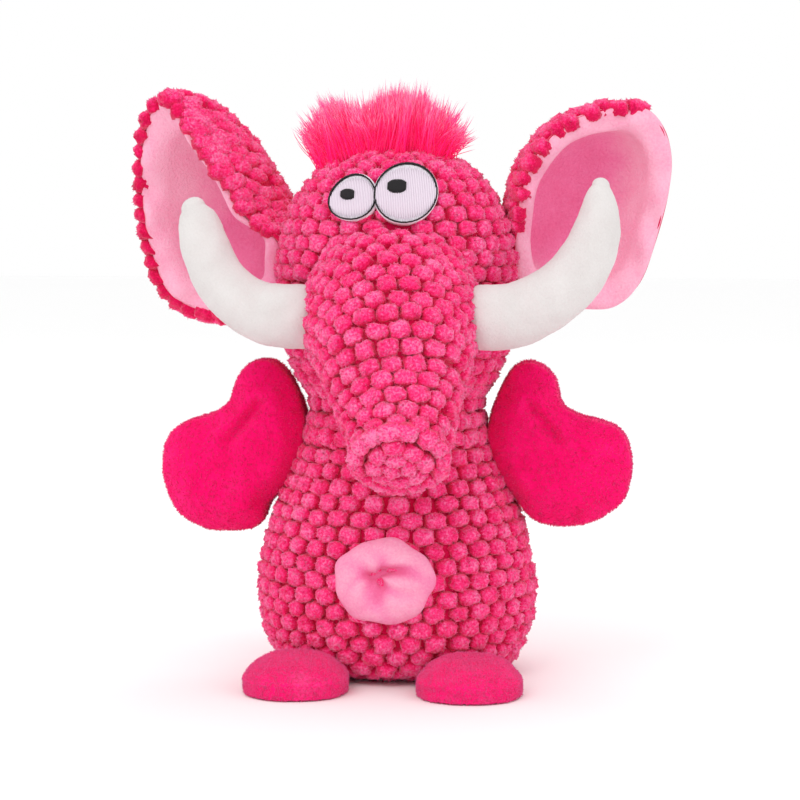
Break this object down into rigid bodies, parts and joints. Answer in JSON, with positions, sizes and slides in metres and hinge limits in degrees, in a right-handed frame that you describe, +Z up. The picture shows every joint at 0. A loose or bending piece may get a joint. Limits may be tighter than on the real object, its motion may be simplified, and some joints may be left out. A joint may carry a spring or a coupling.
{
  "type": "stuffed elephant",
  "caption": "Standing plush elephant with cupped ears, curled trunk, padded tusks, mitten arms, flat feet and a fur tuft.",
  "frame": {"origin": "centre of the flat base panel that the body stands on, at floor height", "axes": "+Z up, -Y the way the face and trunk point, +X the toy's own left side"},
  "size_m": [0.1763, 0.117, 0.1913],
  "materials": {
    "bubble_plush": "bubble chenille plush",
    "hot_pink_pile": "short dense pile",
    "pale_pink_pile": "short dense pile",
    "white_pile": "very short pile",
    "hair_fur": "long pile fur",
    "eye_felt": "felt",
    "white_thread": "satin stitch",
    "black_thread": "satin stitch",
    "polyester_fibre": "loose fibre",
    "squeaker_plastic": "soft moulded"
  },
  "bodies": {
    "torso": {"body_front_panel": "bubble_plush", "body_back_panel": "bubble_plush", "body_base_panel": "bubble_plush", "body_stuffing": "polyester_fibre", "squeaker_bulb": "squeaker_plastic", "squeaker_reed": "squeaker_plastic", "belly_patch": "pale_pink_pile"},
    "head": {"head_front_panel": "bubble_plush", "head_back_panel": "bubble_plush", "head_stuffing": "polyester_fibre", "eye_backing": "eye_felt", "left_eye_outline": "black_thread", "left_eye_white": "white_thread", "left_pupil": "black_thread", "right_eye_outline": "black_thread", "right_eye_white": "white_thread", "right_pupil": "black_thread", "hair_strip": "hair_fur", "hair_tuft": "hair_fur", "trunk_root_skin": "bubble_plush", "trunk_root_stuffing": "polyester_fibre"},
    "trunk_middle": {"trunk_middle_skin": "bubble_plush", "trunk_middle_stuffing": "polyester_fibre"},
    "trunk_tip": {"trunk_tip_skin": "bubble_plush", "trunk_tip_stuffing": "polyester_fibre", "trunk_end_panel": "bubble_plush"},
    "left_tusk": {"left_tusk_skin": "white_pile", "left_tusk_stuffing": "polyester_fibre"},
    "left_ear": {"left_ear_back": "bubble_plush", "left_ear_lining": "pale_pink_pile"},
    "left_arm": {"left_arm_front": "hot_pink_pile", "left_arm_back": "hot_pink_pile", "left_arm_stuffing": "polyester_fibre"},
    "left_foot": {"left_foot_top": "hot_pink_pile", "left_foot_sole": "hot_pink_pile", "left_foot_stuffing": "polyester_fibre"},
    "right_tusk": {"right_tusk_skin": "white_pile", "right_tusk_stuffing": "polyester_fibre"},
    "right_ear": {"right_ear_back": "bubble_plush", "right_ear_lining": "pale_pink_pile"},
    "right_arm": {"right_arm_front": "hot_pink_pile", "right_arm_back": "hot_pink_pile", "right_arm_stuffing": "polyester_fibre"},
    "right_foot": {"right_foot_top": "hot_pink_pile", "right_foot_sole": "hot_pink_pile", "right_foot_stuffing": "polyester_fibre"}
  },
  "joints": [
    {"name": "neck_nod", "type": "hinge", "parent": "torso", "child": "head", "pos_m": [0, 0, 0.0849], "axis": [1, 0, 0], "range_deg": [-8, 12], "stiffness_Nm_per_rad": 1.2},
    {"name": "trunk_bend", "type": "hinge", "parent": "head", "child": "trunk_middle", "pos_m": [0.0034, -0.043, 0.1091], "axis": [1, 0, 0], "range_deg": [-20, 15], "stiffness_Nm_per_rad": 0.15},
    {"name": "trunk_curl", "type": "hinge", "parent": "trunk_middle", "child": "trunk_tip", "pos_m": [0.0068, -0.058, 0.0872], "axis": [1, 0, 0], "range_deg": [-20, 15], "stiffness_Nm_per_rad": 0.08},
    {"name": "left_tusk_bend", "type": "hinge", "parent": "head", "child": "left_tusk", "pos_m": [0.0435, -0.031, 0.1204], "axis": [0, 0, -1], "range_deg": [-8, 14], "stiffness_Nm_per_rad": 0.06},
    {"name": "left_ear_flap", "type": "hinge", "parent": "head", "child": "left_ear", "pos_m": [0.0395, 0.006, 0.1368], "axis": [0, 0, -1], "range_deg": [-20, 7], "stiffness_Nm_per_rad": 0.06},
    {"name": "left_arm_swing", "type": "hinge", "parent": "torso", "child": "left_arm", "pos_m": [0.0366, 0, 0.0717], "axis": [0.2449, 0, -0.9696], "range_deg": [-35, 35], "stiffness_Nm_per_rad": 0.06},
    {"name": "left_foot_lift", "type": "hinge", "parent": "torso", "child": "left_foot", "pos_m": [0.0276, -0.0318, 0.002], "axis": [-1, 0, 0], "range_deg": [0, 18], "stiffness_Nm_per_rad": 0.06},
    {"name": "right_tusk_bend", "type": "hinge", "parent": "head", "child": "right_tusk", "pos_m": [-0.0405, -0.031, 0.1199], "axis": [0, 0, 1], "range_deg": [-8, 14], "stiffness_Nm_per_rad": 0.06},
    {"name": "right_ear_flap", "type": "hinge", "parent": "head", "child": "right_ear", "pos_m": [-0.0395, 0.006, 0.1368], "axis": [0, 0, 1], "range_deg": [-20, 7], "stiffness_Nm_per_rad": 0.06},
    {"name": "right_arm_swing", "type": "hinge", "parent": "torso", "child": "right_arm", "pos_m": [-0.0366, 0, 0.0717], "axis": [0.2449, 0, 0.9696], "range_deg": [-35, 35], "stiffness_Nm_per_rad": 0.06},
    {"name": "right_foot_lift", "type": "hinge", "parent": "torso", "child": "right_foot", "pos_m": [-0.0276, -0.0318, 0.002], "axis": [-1, 0, 0], "range_deg": [0, 18], "stiffness_Nm_per_rad": 0.06}
  ],
  "couplings": [
    {"joint": "trunk_curl", "follows": "trunk_bend", "ratio": 1}
  ]
}
